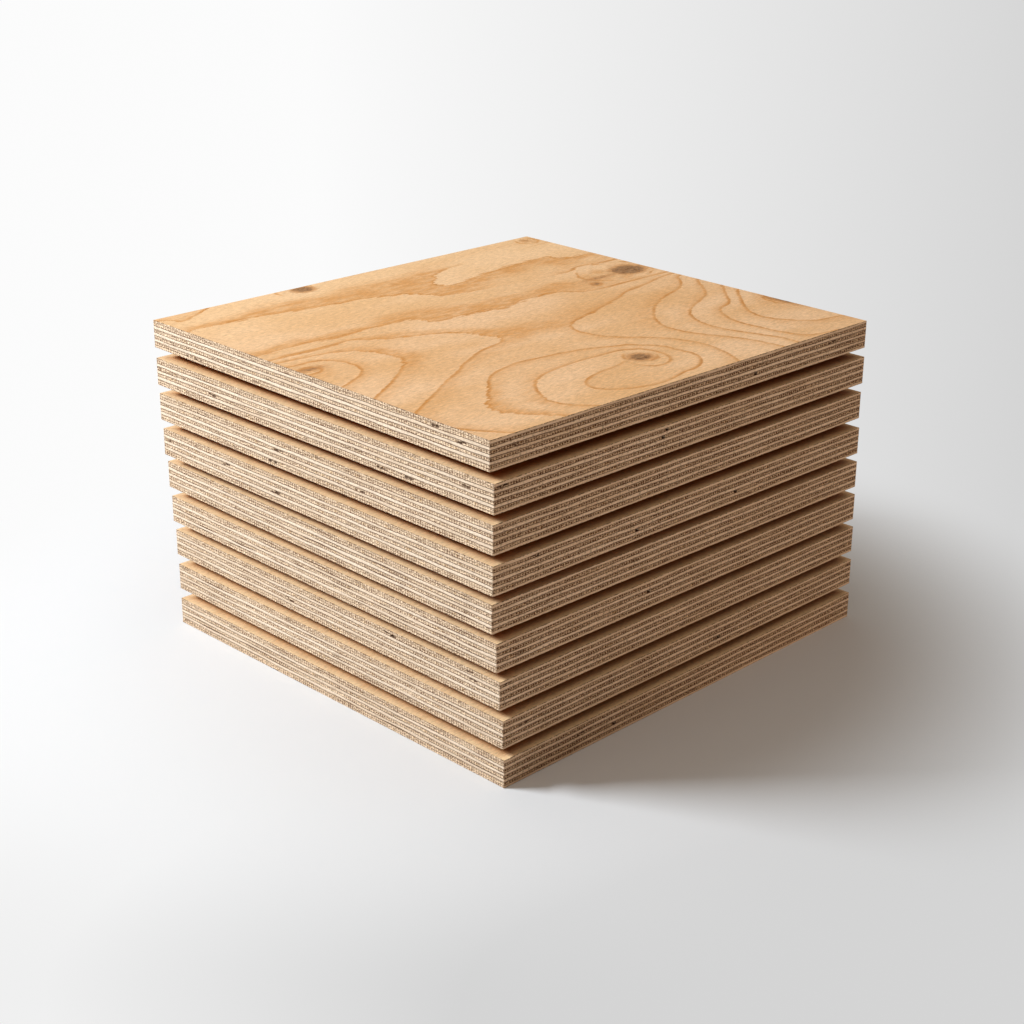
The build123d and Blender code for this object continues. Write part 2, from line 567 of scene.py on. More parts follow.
def ply_outline(sheet, ply, start, end):
    """The columns of one strip of a ply, closer together at its pockets."""
    near_side, far_side = -sheet.length / 2, sheet.length / 2
    found = pockets_of(sheet, ply) if ply % 2 == 0 else []
    extra = {side: [] for side in range(4)}
    step = pocket_column_spacing
    for side, place, length, _ in found:
        extra[side].append(np.arange(place - length / 2 - step / 2, place + length / 2 + step, step))
    half = sheet.width / 2
    in_core_gap = stations(-half, half, hidden_column_spacing, [mouth_columns - half, half - mouth_columns])
    runs = [
        stations(-half, half, column_spacing, extra[NEAR]) if start == near_side else in_core_gap,
        stations(start, end, column_spacing, extra[RIGHT]),
        stations(-half, half, column_spacing, extra[FAR]) if end == far_side else in_core_gap,
        stations(start, end, column_spacing, extra[LEFT]),
    ]
    return Outline(*runs), found


def add_ply(shell, ply, strips):
    """Adds one ply of the core as closed slabs, one for each strip it is laid from."""
    sheet = shell.sheet
    crossing = ply % 2 == 0
    rows = cross_ply_rows if crossing else long_ply_rows
    roughness, set_back = (cross_ply_roughness, cross_ply_set_back) if crossing else (saw_roughness, 0.0)
    high, low = sheet.heights[ply - 1] - ply_clearance, sheet.heights[ply] + ply_clearance
    for start, end in sheet.strips(ply):
        outline, found = ply_outline(sheet, ply, start, end)
        x, y = outline.places.T
        low_line = low + glue_wave(sheet, ply, x, y)
        high_line = high + glue_wave(sheet, ply - 1, x, y)
        random = np.random.default_rng(100 * sheet.number + ply)
        rings = []
        for share in rows:
            groove = glue_groove if share in (0.0, 1.0) else 0.0
            depths = sawn_depths(outline, random, roughness, groove + set_back)
            bowls = pocket_depths(outline, found, 100 * ply + sheet.number, share)
            heights = low_line + (high_line - low_line) * share
            # How deep a point lies in its pocket, which the cross plies darken as painted shade
            hollow = np.clip(bowls / full_hollow, 0, 1)
            rings.append(add_ring(shell, outline, heights, depths + bowls, hollow=hollow))
        add_walls(shell, outline, rings, rows, ply, strips, CROSS_PLY if crossing else LONG_PLY)
        cap_corner = np.array([2 * ply * core_cap_size, core_caps_bottom])
        add_cap(shell, outline, rings[0], low, False, cap_corner, core_cap_size, INSIDE)
        cap_corner = cap_corner + (core_cap_size, 0)
        add_cap(shell, outline, rings[-1], high, True, cap_corner, core_cap_size, INSIDE)


def core_piece(sheet, materials):
    """The seven inner plies of a sheet."""
    shell = Shell(sheet)
    strip_height = core_strips_top / (4 * (sheet.ply_count - 2))
    for ply in range(2, sheet.ply_count):
        add_ply(shell, ply, (4 * strip_height * (ply - 2), strip_height))
    return shell.build(f"sheet_{sheet.number}_core", materials)


def veneer_piece(sheet, faces_up, spacing, figure, materials):
    """The face or the back veneer of a sheet: a slab whose outer side is a grid that carries the figure."""
    shell = Shell(sheet)
    ply = 1 if faces_up else sheet.ply_count
    high, low = sheet.heights[ply - 1], sheet.heights[ply]
    glued, outer = (low + ply_clearance, high) if faces_up else (high - ply_clearance, low)
    half_x, half_y = sheet.width / 2, sheet.length / 2
    rim = np.arange(hidden_rim_spacing, gap_shade_to + 1, hidden_rim_spacing)
    xs = stations(-half_x, half_x, spacing, [rim - half_x, half_x - rim])
    ys = stations(-half_y, half_y, spacing, [rim - half_y, half_y - rim])
    outline = Outline(xs, ys, xs, ys)
    x, y = outline.places.T
    glue_line = glued + glue_wave(sheet, 1 if faces_up else ply - 1, x, y)
    random = np.random.default_rng(500 + sheet.number + ply)
    rings = []
    for share in veneer_rows:
        depths = sawn_depths(outline, random, saw_roughness, glue_groove if share == 0 else 0.0)
        rings.append(add_ring(shell, outline, glue_line + (outer - glue_line) * share, depths))
    add_cap(shell, outline, rings[0], glued, not faces_up, veneer_cap, veneer_cap_size, EDGE)
    grid_x, grid_y = (places.ravel() for places in np.meshgrid(xs, ys))
    values = figure(grid_x, grid_y)
    relief = values.pop("relief") * (-1 if faces_up else 1)
    shrunk = np.column_stack([grid_x * (1 - arris / half_x), grid_y * (1 - arris / half_y), outer + relief])
    grid = shell.add_points(shrunk, **values).reshape(len(ys), len(xs))
    rings.append(np.concatenate([grid[0, :-1], grid[:-1, -1], grid[-1, :0:-1], grid[:0:-1, 0]]))
    shares = (*veneer_rows, 1.0)
    quads = np.stack([grid[:-1, :-1], grid[:-1, 1:], grid[1:, 1:], grid[1:, :-1]], axis=-1).reshape(-1, 4)
    if not faces_up:
        rings, shares, quads = rings[::-1], shares[::-1], quads[:, ::-1]
    add_walls(shell, outline, rings, shares, ply, veneer_strips, EDGE)
    flat = np.column_stack([grid_x, grid_y])[quads - grid[0, 0]]
    bake_map = (flat / (2 * half_x, 2 * half_y) + 0.5) * face_on_map + map_margin
    shell.add_faces(quads, flat + (wood_offset(sheet, ply, 0), 0), bake_map, OUTER)
    kind = "face" if faces_up else "back"
    return shell.build(f"sheet_{sheet.number}_{kind}", materials)


def spline_points(points, spacing):
    """Points about a spacing apart on a smooth curve through the given ones."""
    padded = np.array([points[0], *points, points[-1]], float)
    traced = []
    for before, start, end, after in zip(padded, padded[1:], padded[2:], padded[3:]):
        steps = max(1, round(np.hypot(*(end - start)) / spacing))
        t = (np.arange(steps) / steps)[:, None]
        second = 2 * before - 5 * start + 4 * end - after
        third = 3 * start - before - 3 * end + after
        traced.append(0.5 * (2 * start + (end - before) * t + second * t**2 + third * t**3))
    traced.append(padded[-1:])
    return np.concatenate(traced)


def plate(squared):
    """The bending shape of a thin plate at a squared distance from a load."""
    return 0.5 * squared * np.log(np.maximum(squared, least_squared_distance))


def ring_field():
    """A smooth surface over the top face with each line's number along it, as its centres and weights."""
    centres = []
    numbers = []
    for number, points in face_rings:
        traced = spline_points(points, ring_point_spacing)
        centres.extend(traced)
        numbers.extend([number] * len(traced))
    for number, x, y in face_ring_spots:
        centres.append((x, y))
        numbers.append(number)
    centres = np.array(centres, float)
    count = len(centres)
    squared = ((centres[:, None] - centres[None]) ** 2).sum(axis=-1)
    system = np.zeros((count + 3, count + 3))
    system[:count, :count] = plate(squared) + ring_stiffness * np.eye(count)
    system[:count, count] = system[count, :count] = 1
    system[:count, count + 1:] = centres
    system[count + 1:, :count] = centres.T
    return centres, np.linalg.solve(system, np.append(numbers, [0, 0, 0]))


def bump(x, y, place_x, place_y, reach_x, reach_y):
    """1 round a place and 0 well away from it, with a soft rim."""
    return np.exp(-(((x - place_x) / reach_x) ** 2 + ((y - place_y) / reach_y) ** 2) ** 2)


def lateness(ring):
    """How far into the latewood of its ring a point lies, from 0 to 1."""
    return np.clip((ring % 1 - latewood_from) / (1 - latewood_from), 0, 1)


def slope_of(rings_at, x, y):
    """How many rings a millimetre crosses."""
    step = 0.5
    across = (rings_at(x + step, y) - rings_at(x - step, y)) / (2 * step)
    along = (rings_at(x, y + step) - rings_at(x, y - step)) / (2 * step)
    return np.hypot(across, along)


def outside(x, y, place_x, place_y, reach_x, reach_y):
    """About how far outside an oval each point lies, negative inside."""
    return (np.hypot((x - place_x) / reach_x, (y - place_y) / reach_y) - 1) * min(reach_x, reach_y)


def knot_values(x, y, knots):
    """How far outside the nearest knot, and outside the nearest ring of bent grain, each point lies."""
    core = ring = np.full(len(x), far_from_knot)
    for knot in knots:
        core = np.minimum(core, outside(x, y, *knot[:4]))
        ring = np.minimum(ring, outside(x, y, *knot[4:]))
    return core, ring


def top_figure():
    """The figure of the top sheet's face, as a function of points on it."""
    centres, weights = ring_field()

    def rings_at(x, y):
        """The ring number at each point, and how many rings a millimetre crosses there."""
        ring = weights[-3] + weights[-2] * x + weights[-1] * y
        climb_x, climb_y = np.full(len(x), weights[-2]), np.full(len(y), weights[-1])
        for (centre_x, centre_y), weight in zip(centres, weights):
            off_x, off_y = x - centre_x, y - centre_y
            squared = np.maximum(off_x**2 + off_y**2, least_squared_distance)
            bend = weight * np.log(squared)
            ring = ring + 0.5 * bend * squared
            climb_x = climb_x + (bend + weight) * off_x
            climb_y = climb_y + (bend + weight) * off_y
        return ring, np.hypot(climb_x, climb_y)

    def figure(x, y):
        contrast = np.ones(len(x))
        for place_x, place_y, reach_x, reach_y, amount in quiet_places:
            contrast *= 1 - amount * bump(x, y, place_x, place_y, reach_x, reach_y)
        stain = np.full(len(x), plain_stain)
        for place_x, place_y, reach_x, reach_y, amount in stained_places:
            stain = stain + amount * bump(x, y, place_x, place_y, reach_x, reach_y)
        core, halo = knot_values(x, y, face_knots)
        ring, slope = rings_at(x, y)
        # Painted sheen, paler toward -X
        pale = sheen_most * np.clip((sheen_from - x) / sheen_over, 0, 1)
        early = earlywood_relief * (1 - lateness(ring) * contrast)
        knotty = knot_relief * np.clip(1 - core / knot_relief_reach, 0, 1)
        uneven = uneven_relief * (1 + waves(x, 620, 3, (2, 14)) * waves(y, 666, 4, (1, 6)) / 2)
        return {
            "ring": ring, "slope": slope, "contrast": contrast, "stain": np.clip(stain, 0, 1),
            "knot": core, "knot_ring": halo, "relief": np.maximum(early + knotty + uneven, 0), "pale": pale,
        }

    return figure


def plain_figure(seed, sheet, gap_shade_depth):
    """The figure of any other face: nested arches of flat-cut wood along Y, with one or two small knots.

    Away from its rim the wood is darkened with painted shade of the sheet above, as far as the shade depth
    says.
    """
    random = np.random.default_rng(seed)
    middle = random.uniform(-70, 70)
    tip = random.uniform(-160, 160)
    spread = random.uniform(24, 34)
    knots = []
    for _ in range(random.integers(1, 3)):
        knot_x, knot_y, reach = random.uniform(-140, 140), random.uniform(-150, 150), random.uniform(3, 7)
        knots.append((knot_x, knot_y, reach, 1.2 * reach, knot_x + 2, knot_y, 2 * reach, 2.4 * reach))

    def rings_at(x, y):
        sway = 9 * np.sin(y / 47 + seed) + 5 * np.sin(y / 19 + 2 * seed) + 4 * np.sin((x + y) / 31)
        return np.hypot(x - middle + sway, 0.16 * (y - tip)) / spread

    def figure(x, y):
        core, halo = knot_values(x, y, knots)
        ring = rings_at(x, y)
        from_rim = np.minimum(sheet.width / 2 - np.abs(x), sheet.length / 2 - np.abs(y))
        # Painted shade: the face darkens away from its rim, under the sheet above
        gap_shade = gap_shade_depth * np.clip((from_rim - gap_shade_from) / (gap_shade_to - gap_shade_from), 0, 1)
        return {
            "ring": ring, "slope": slope_of(rings_at, x, y), "contrast": 0.2, "stain": 0.5,
            "knot": core, "knot_ring": halo, "relief": earlywood_relief * (1 - lateness(ring)),
            "pale": 1.0, "gap_shade": gap_shade,
        }

    return figure


def batten_piece(sheet, materials):
    """The two battens that lie on a sheet, sawn square with their arrises broken."""
    shell = Shell(sheet)
    points = sheet.flat(node_points(f"battens_on_sheet_{sheet.number}"))
    low, high = points[:, 2].min() + ply_clearance, points[:, 2].max() - ply_clearance
    for number, one in enumerate((points[points[:, 1] < 0], points[points[:, 1] > 0])):
        xs = stations(one[:, 0].min(), one[:, 0].max(), batten_column_spacing)
        ys = stations(one[:, 1].min(), one[:, 1].max(), batten_column_spacing)
        outline = Outline(xs, ys, xs, ys)
        random = np.random.default_rng(40 * sheet.number + number)
        rings = []
        for share in batten_rows:
            worn = batten_arris if share in (0.0, 1.0) else 0.0
            depths = sawn_depths(outline, random, batten_roughness, worn, batten_corner_rounding)
            heights = np.full(len(depths), low + (high - low) * share)
            rings.append(add_ring(shell, outline, heights, depths))
        on_map = batten_pitch_on_map * number
        add_walls(shell, outline, rings, batten_rows, number, (on_map, batten_strip), 0)
        corner = np.array([on_map, batten_caps_bottom])
        add_cap(shell, outline, rings[0], low, False, corner, batten_cap_size, 0)
        add_cap(shell, outline, rings[-1], high, True, corner + (batten_cap_pitch, 0), batten_cap_size, 0)
    return shell.build(f"battens_{sheet.number}", materials)


class Graph:
    """The nodes of a material or a world, which a chain of calls adds and joins."""

    def __init__(self, owner, shader="Principled BSDF"):
        owner.use_nodes = True
        self.owner = owner
        self.tree = owner.node_tree
        self.shader = self.tree.nodes[shader]

    def feed(self, socket, value):
        """Joins an output to a socket, or sets the socket to a plain value."""
        if isinstance(value, bpy.types.NodeSocket):
            self.tree.links.new(value, socket)
        else:
            socket.default_value = value

    def join(self, made, inputs):
        """Feeds inputs of a node, by their names or numbers."""
        for key, value in inputs.items():
            self.feed(made.inputs[key], value)

    def node(self, kind, inputs, output=0, **settings):
        """Adds a node with its settings and inputs, and returns one of its outputs."""
        made = self.tree.nodes.new(kind)
        for name, value in settings.items():
            setattr(made, name, value)
        self.join(made, inputs)
        return made.outputs[output]

    def math(self, operation, *values, clamp=False):
        return self.node("ShaderNodeMath", dict(enumerate(values)), operation=operation, use_clamp=clamp)

    def times(self, *values):
        total = values[0]
        for value in values[1:]:
            total = self.math("MULTIPLY", total, value)
        return total

    def plus(self, *values):
        total = values[0]
        for value in values[1:]:
            total = self.math("ADD", total, value)
        return total

    def attribute(self, name):
        return self.node("ShaderNodeAttribute", {}, "Fac", attribute_name=name)

    def wood_map(self):
        return self.node("ShaderNodeUVMap", {}, uv_map="wood")

    def vector_math(self, operation, first, second=(0.0, 0.0, 0.0), output="Vector"):
        return self.node("ShaderNodeVectorMath", {0: first, 1: second}, output, operation=operation)

    def noise(self, place, scales, detail=2.0, roughness=0.55):
        """Smooth noise about 0, most of it between -0.5 and 0.5, at scales along and across the grain."""
        vector = self.vector_math("MULTIPLY", place, (*scales, 1.0))
        inputs = {"Vector": vector, "Scale": 1.0, "Detail": detail, "Roughness": roughness}
        raw = self.node("ShaderNodeTexNoise", inputs, "Fac", noise_dimensions="2D")
        return self.times(self.math("SUBTRACT", raw, 0.5), 1.6)

    def rise(self, value, start, end, low=0.0, high=1.0):
        """A smooth step from low at start to high at end."""
        inputs = {"Value": value, "From Min": start, "From Max": end, "To Min": low, "To Max": high}
        return self.node("ShaderNodeMapRange", inputs, interpolation_type="SMOOTHSTEP")

    def blend(self, share, first, second, kind="MIX"):
        """A colour between two, or the first one multiplied by the second."""
        inputs = {0: share, 6: first, 7: second}
        return self.node("ShaderNodeMix", inputs, 2, data_type="RGBA", blend_type=kind)

    def grey(self, value):
        return self.node("ShaderNodeCombineColor", {0: value, 1: value, 2: value})

    def brighter(self, colour, amount):
        """A colour made brighter or darker by an amount about 0."""
        return self.blend(1.0, colour, self.grey(self.math("ADD", amount, 1.0)), "MULTIPLY")

    def dots(self, vector, randomness=0.6):
        """How far a point lies from the nearest of many scattered dots, and a random number for that dot."""
        inputs = {"Vector": vector, "Scale": 1.0, "Randomness": randomness}
        distance = self.node("ShaderNodeTexVoronoi", inputs, "Distance", voronoi_dimensions="2D")
        return distance, self.node("ShaderNodeSeparateColor", {0: distance.node.outputs["Color"]})

    def finish(self, colour, roughness, height, bump_distance, specular=0.3):
        """Feeds the surface shader: its colour, its roughness and a bump whose height is in millimetres."""
        bump = self.node("ShaderNodeBump", {"Height": height, "Distance": bump_distance, "Strength": 1.0})
        surface = {"Base Color": colour, "Roughness": roughness, "Specular IOR Level": specular, "Normal": bump}
        self.join(self.shader, surface)
        return self.owner

    def show(self, other, share):
        """Shows another shader instead of the graph's own, as far as the share says."""
        mixed = self.node("ShaderNodeMixShader", {0: share, 1: self.shader.outputs[0], 2: other})
        output = next(node for node in self.tree.nodes if node.type.startswith("OUTPUT"))
        self.feed(output.inputs["Surface"], mixed)


def srgb(red, green, blue):
    """A colour written as it is seen, from 0 to 255."""
    def linear(part):
        part = part / 255
        return part / 12.92 if part <= 0.04045 else ((part + 0.055) / 1.055) ** 2.4
    return linear(red), linear(green), linear(blue), 1.0


# Colours of the faces and their knots, the sawn edges, the undersides and the battens
face_pale = srgb(241, 197, 151)
face_deep = srgb(230, 180, 126)
latewood = srgb(220, 160, 98)
latewood_line = srgb(206, 138, 66)
knot_orange = srgb(198, 140, 86)
knot_grey = srgb(156, 124, 92)
knot_dark = srgb(100, 66, 38)
ply_pale = srgb(235, 212, 186)
ply_grey = srgb(216, 188, 157)
ply_brown = srgb(107, 69, 43)
ply_dark = srgb(78, 52, 34)
ply_fleck = srgb(246, 216, 181)
ply_orange = srgb(240, 204, 160)
glue_brown = srgb(100, 71, 49)
# Painted shade in the pockets of the core
pocket_shade_brown = srgb(84, 58, 40)
# Painted shade: the undersides over the gaps are dark brown, so that the gaps between sheets stay dark
underside_shade_brown = srgb(118, 67, 34)
# The colour of the faces below the top one, and of the top face's painted sheen
covered_face_and_sheen_pale = srgb(254, 215, 165)
# Painted shade on the faces between sheets, deepest away from their rims
gap_shade_brown = srgb(214, 138, 72)
pine = srgb(222, 186, 138)
# Tints of the left and right sides: partly their grain, and partly painted warm shade like that of the stack's
# shaded right side
long_side_grain_and_shade_tint = (1.08, 0.93, 0.81, 1.0)
cross_side_grain_and_shade_tint = (0.80, 0.68, 0.58, 1.0)


def face_material():
    """The sanded face of a sheet: growth rings with a soft side and a sharp side, fibres, and knots."""
    g = Graph(bpy.data.materials.new("face_veneer"))
    place = g.wood_map()
    slope = g.math("MAXIMUM", g.attribute("slope"), 0.004)
    stain = g.attribute("stain")
    contrast = g.attribute("contrast")
    stray = g.times(g.noise(place, (0.28, 0.035), 4.0, 0.7), g.rise(stain, 0.3, 1.0, 1.6, 8.0), slope)
    ring = g.plus(g.attribute("ring"), stray)
    share = g.math("FRACT", ring)
    before = g.math("DIVIDE", g.math("SUBTRACT", 1.0, share), slope)
    after = g.math("DIVIDE", share, slope)
    line = g.math("MAXIMUM", g.rise(before, 2.8, 0.2), g.rise(after, 1.0, 0.0))
    soft = g.rise(share, 0.52, 0.88)
    uneven = g.rise(g.noise(place, (0.22, 0.05), 4.0, 0.7), -0.35, 0.35, 0.4, 1.15)
    late = g.times(soft, stain, contrast, uneven)
    lined = g.times(line, contrast, g.rise(g.noise(place, (0.05, 0.03)), -0.3, 0.3, 0.5, 0.92))
    fibre = g.noise(place, (1.7, 0.16), 3.0, 0.7)
    speckle = g.noise(place, (0.6, 0.2), 3.0, 0.85)
    cloud = g.rise(g.noise(place, (0.02, 0.008), 3.0), -0.35, 0.35)
    # pale blends to this colour: a painted sheen toward -X on the top face, the plain colour of every other
    # face
    colour = g.blend(g.attribute("pale"), g.blend(cloud, face_deep, face_pale), covered_face_and_sheen_pale)
    # Painted shade of the sheet above, deeper away from the rim
    colour = g.blend(g.attribute("gap_shade"), colour, gap_shade_brown)
    colour = g.blend(late, colour, latewood)
    colour = g.blend(lined, colour, latewood_line)
    core = g.plus(g.attribute("knot"), g.times(g.noise(place, (0.35, 0.35), 3.0), 3.0))
    bent = g.plus(g.attribute("knot_ring"), g.times(g.noise(place, (0.16, 0.16), 3.0), 3.0))
    faded = g.rise(g.noise(place, (0.06, 0.06)), -0.2, 0.3)
    bent_line = g.times(g.rise(g.math("ABSOLUTE", bent), 1.8, 0.2, 0.0, 0.8), faded)
    bent_fill = g.times(g.rise(bent, 0.0, -4.0, 0.0, 0.4), faded)
    colour = g.blend(g.math("MAXIMUM", bent_line, bent_fill), colour, latewood_line)
    colour = g.blend(g.rise(core, 5.0, 0.0, 0.0, 0.8), colour, knot_orange)
    knot_tone = g.rise(g.noise(place, (0.3, 0.16), 4.0, 0.75), -0.3, 0.3)
    knot_rings = g.rise(g.math("SINE", g.times(core, 2.4)), -0.4, 0.8)
    knot_colour = g.blend(g.times(knot_rings, 0.45), g.blend(knot_tone, knot_dark, knot_grey), knot_orange)
    colour = g.blend(g.rise(core, 1.2, -2.0, 0.0, 0.85), colour, knot_colour)
    tone = g.plus(g.times(fibre, 0.3), g.times(speckle, 0.5))
    colour = g.brighter(colour, tone)
    roughness = g.rise(fibre, -0.5, 0.5, 0.5, 0.66)
    height = g.plus(fibre, g.times(speckle, 0.5))
    return g.finish(colour, roughness, height, 0.00006)


def edge_coordinates(g):
    """The wood map of a sawn edge: distance along it in millimetres, and the share of the way up the ply."""
    place = g.wood_map()
    along = g.node("ShaderNodeSeparateXYZ", {0: place})
    return place, along, along.node.outputs["Y"]


def shade_of_side(g):
    """0 on the near and far sides of a sheet, and 1 on its left and right sides."""
    facing_right = g.node("ShaderNodeSeparateXYZ", {0: g.node("ShaderNodeNewGeometry", {}, "Normal")})
    return g.rise(g.math("ABSOLUTE", facing_right), 0.4, 0.8)


def long_ply_material():
    """A sawn edge of a long ply: pale, with faint streaks and flecks along it."""
    g = Graph(bpy.data.materials.new("long_plies"))
    place, along, share = edge_coordinates(g)
    streak = g.noise(place, (0.035, 5.0), 3.0, 0.6)
    fine = g.noise(place, (0.7, 3.0), 3.0, 0.8)
    patch = g.noise(place, (0.012, 0.8), 2.0)
    colour = g.blend(g.rise(g.plus(streak, g.times(patch, 0.7)), -0.5, 0.3), ply_grey, ply_pale)
    lattice = g.node("ShaderNodeCombineXYZ", {0: g.times(along, 0.42), 1: g.times(share, 1.6)})
    distance, chance = g.dots(lattice, 0.6)
    side = shade_of_side(g)
    flecks = g.times(g.rise(distance, 0.5, 0.2), g.rise(chance, 0.2, 1.0), g.rise(side, 0.0, 1.0, 0.2, 0.45))
    colour = g.blend(flecks, g.brighter(colour, g.times(fine, 0.4)), ply_brown)
    # Left and right sides: partly grain, partly painted warm shade
    colour = g.blend(side, colour, g.blend(1.0, colour, long_side_grain_and_shade_tint, "MULTIPLY"))
    from_glue = g.math("MINIMUM", g.math("SUBTRACT", share, 0.12), g.math("SUBTRACT", 1.0, share))
    ragged = g.plus(from_glue, g.times(g.noise(place, (0.5, 2.0), 2.0), 0.12))
    colour = g.blend(g.rise(ragged, 0.17, 0.02, 0.0, 0.7), colour, glue_brown)
    return g.finish(colour, 0.72, g.plus(fine, streak), 0.0001, 0.25)


def cut_fibres(g, place, along, share):
    """Rows of sawn fibres, brown on pale, with a few dark torn streaks, as a colour and a height."""
    row = g.plus(g.times(share, 2.0), g.times(g.noise(place, (0.02, 0.0)), 0.5))
    lattice = g.node("ShaderNodeCombineXYZ", {0: g.times(along, 0.5), 1: row})
    distance, chance = g.dots(lattice, 0.36)
    strength = g.rise(shade_of_side(g), 0.0, 1.0, 1.0, 1.35)
    dot = g.times(g.rise(distance, 0.6, 0.25), g.rise(chance, -0.6, 0.5), strength)
    patch = g.rise(g.noise(place, (0.03, 2.0), 3.0, 0.6), -0.3, 0.25, 0.5, 0.95)
    pale = g.blend(g.rise(chance, 0.94, 0.95), ply_fleck, ply_orange)
    colour = g.blend(g.times(dot, patch), pale, ply_brown)
    tears = g.rise(g.noise(place, (0.07, 2.4), 4.0, 0.7), 0.14, 0.32, 0.0, 0.75)
    colour = g.blend(tears, colour, ply_dark)
    fine = g.noise(place, (0.9, 3.0), 2.0, 0.8)
    return g.brighter(colour, g.times(fine, 0.4)), g.plus(g.times(dot, -0.6), fine)


def cross_ply_material():
    """A sawn edge of a ply of lower grade: brown, its fibres cut short and its strips torn at pockets with
    painted shade.
    """
    g = Graph(bpy.data.materials.new("cross_plies"))
    place, along, share = edge_coordinates(g)
    colour, height = cut_fibres(g, place, along, share)
    # Left and right sides: partly end grain, partly painted warm shade
    colour = g.blend(shade_of_side(g), colour, g.blend(1.0, colour, cross_side_grain_and_shade_tint, "MULTIPLY"))
    from_glue = g.math("MINIMUM", share, g.math("SUBTRACT", 1.0, share))
    colour = g.blend(g.rise(from_glue, 0.2, 0.05, 0.0, 0.85), colour, glue_brown)
    # Painted shade in the pockets, deeper where they are deeper
    colour = g.blend(g.rise(g.attribute("hollow"), 0.05, 0.6, 0.0, 0.9), colour, pocket_shade_brown)
    return g.finish(colour, 0.85, height, 0.00025, 0.15)


def veneer_edge_material():
    """An outer veneer's sawn edge: cut fibres on the near and far sides, and pale along the other two."""
    g = Graph(bpy.data.materials.new("veneer_edges"))
    place, along, share = edge_coordinates(g)
    cut, height = cut_fibres(g, place, along, share)
    streak = g.noise(place, (0.035, 4.0), 3.0, 0.6)
    # Left and right sides: partly grain, partly painted warm shade
    smooth = g.blend(1.0, g.blend(g.rise(streak, -0.4, 0.4), ply_grey, ply_pale), long_side_grain_and_shade_tint, "MULTIPLY")
    colour = g.blend(shade_of_side(g), cut, smooth)
    frayed = g.plus(share, g.times(g.noise(place, (0.7, 0.5), 2.0), 0.5))
    colour = g.blend(g.rise(frayed, 0.75, 1.0, 0.0, 0.85), colour, glue_brown)
    return g.finish(colour, 0.8, height, 0.0002, 0.2)


def plain_wood_material(name, colour, fibre_share):
    """Bare wood with its fibres along the wood map's X."""
    g = Graph(bpy.data.materials.new(name))
    place = g.wood_map()
    fibre = g.noise(place, (0.05, fibre_share), 4.0, 0.65)
    fine = g.noise(place, (0.9, 1.5), 2.0)
    colour = g.brighter(colour, g.plus(g.times(fibre, 0.3), g.times(fine, 0.12)))
    return g.finish(colour, 0.8, fibre, 0.0002, 0.2)


def camera_axes(azimuth, look_down, roll):
    """The camera's right, up and back directions."""
    reach = math.cos(look_down)
    back = Vector((math.sin(azimuth) * reach, -math.cos(azimuth) * reach, math.sin(look_down)))
    level = Vector((math.cos(azimuth), math.sin(azimuth), 0))
    rise = back.cross(level)
    right = math.cos(roll) * level + math.sin(roll) * rise
    return right, back.cross(right), back


def add_camera():
    data = bpy.data.cameras.new("camera")
    data.lens = camera_lens
    data.sensor_width = camera_sensor
    data.clip_end = camera_clip_end
    camera = add_object("camera", data)
    turn = Matrix(camera_axes(camera_azimuth, camera_look_down, camera_roll)).transposed()
    camera.matrix_world = Matrix.Translation(camera_place) @ turn.to_4x4()
    bpy.context.scene.camera = camera


def add_key_light():
    """A wide lamp well to the camera's left, turned to the middle of the stack."""
    left = -Vector((math.cos(camera_azimuth), math.sin(camera_azimuth), 0))
    toward = left * math.cos(key_elevation) + Vector((0, 0, math.sin(key_elevation)))
    data = bpy.data.lights.new("key", "AREA")
    data.shape = "RECTANGLE"
    data.size = key_width
    data.size_y = key_height
    data.energy = key_power
    data.color = key_colour
    lamp = add_object("key", data)
    lamp.location = key_target + toward * key_distance
    lamp.rotation_euler = toward.to_track_quat("Z", "Y").to_euler()


def add_world():
    """A warm fill, strongest overhead and from the stack's right. The camera sees it as a plain pale tone."""
    world = bpy.data.worlds.new("fill")
    bpy.context.scene.world = world
    g = Graph(world, "Background")

    def facing(toward):
        """How squarely a ray points toward a direction, and 0 for a ray that points away."""
        ray = g.node("ShaderNodeTexCoord", {}, "Generated")
        return g.math("MAXIMUM", g.vector_math("DOT_PRODUCT", ray, toward, "Value"), 0.0)

    up = facing((0, 0, 1))
    overhead = g.times(g.math("POWER", up, 2.0), fill_overhead)
    right = g.times(g.math("POWER", facing(fill_right_toward), 4.0), up, fill_right)
    g.join(g.shader, {"Color": (*fill_colour, 1.0), "Strength": g.plus(overhead, right, fill_level)})
    plain = g.node("ShaderNodeBackground", {"Color": (1.0, 1.0, 1.0, 1.0), "Strength": horizon_tone})
    g.show(plain, g.node("ShaderNodeLightPath", {}, "Is Camera Ray"))


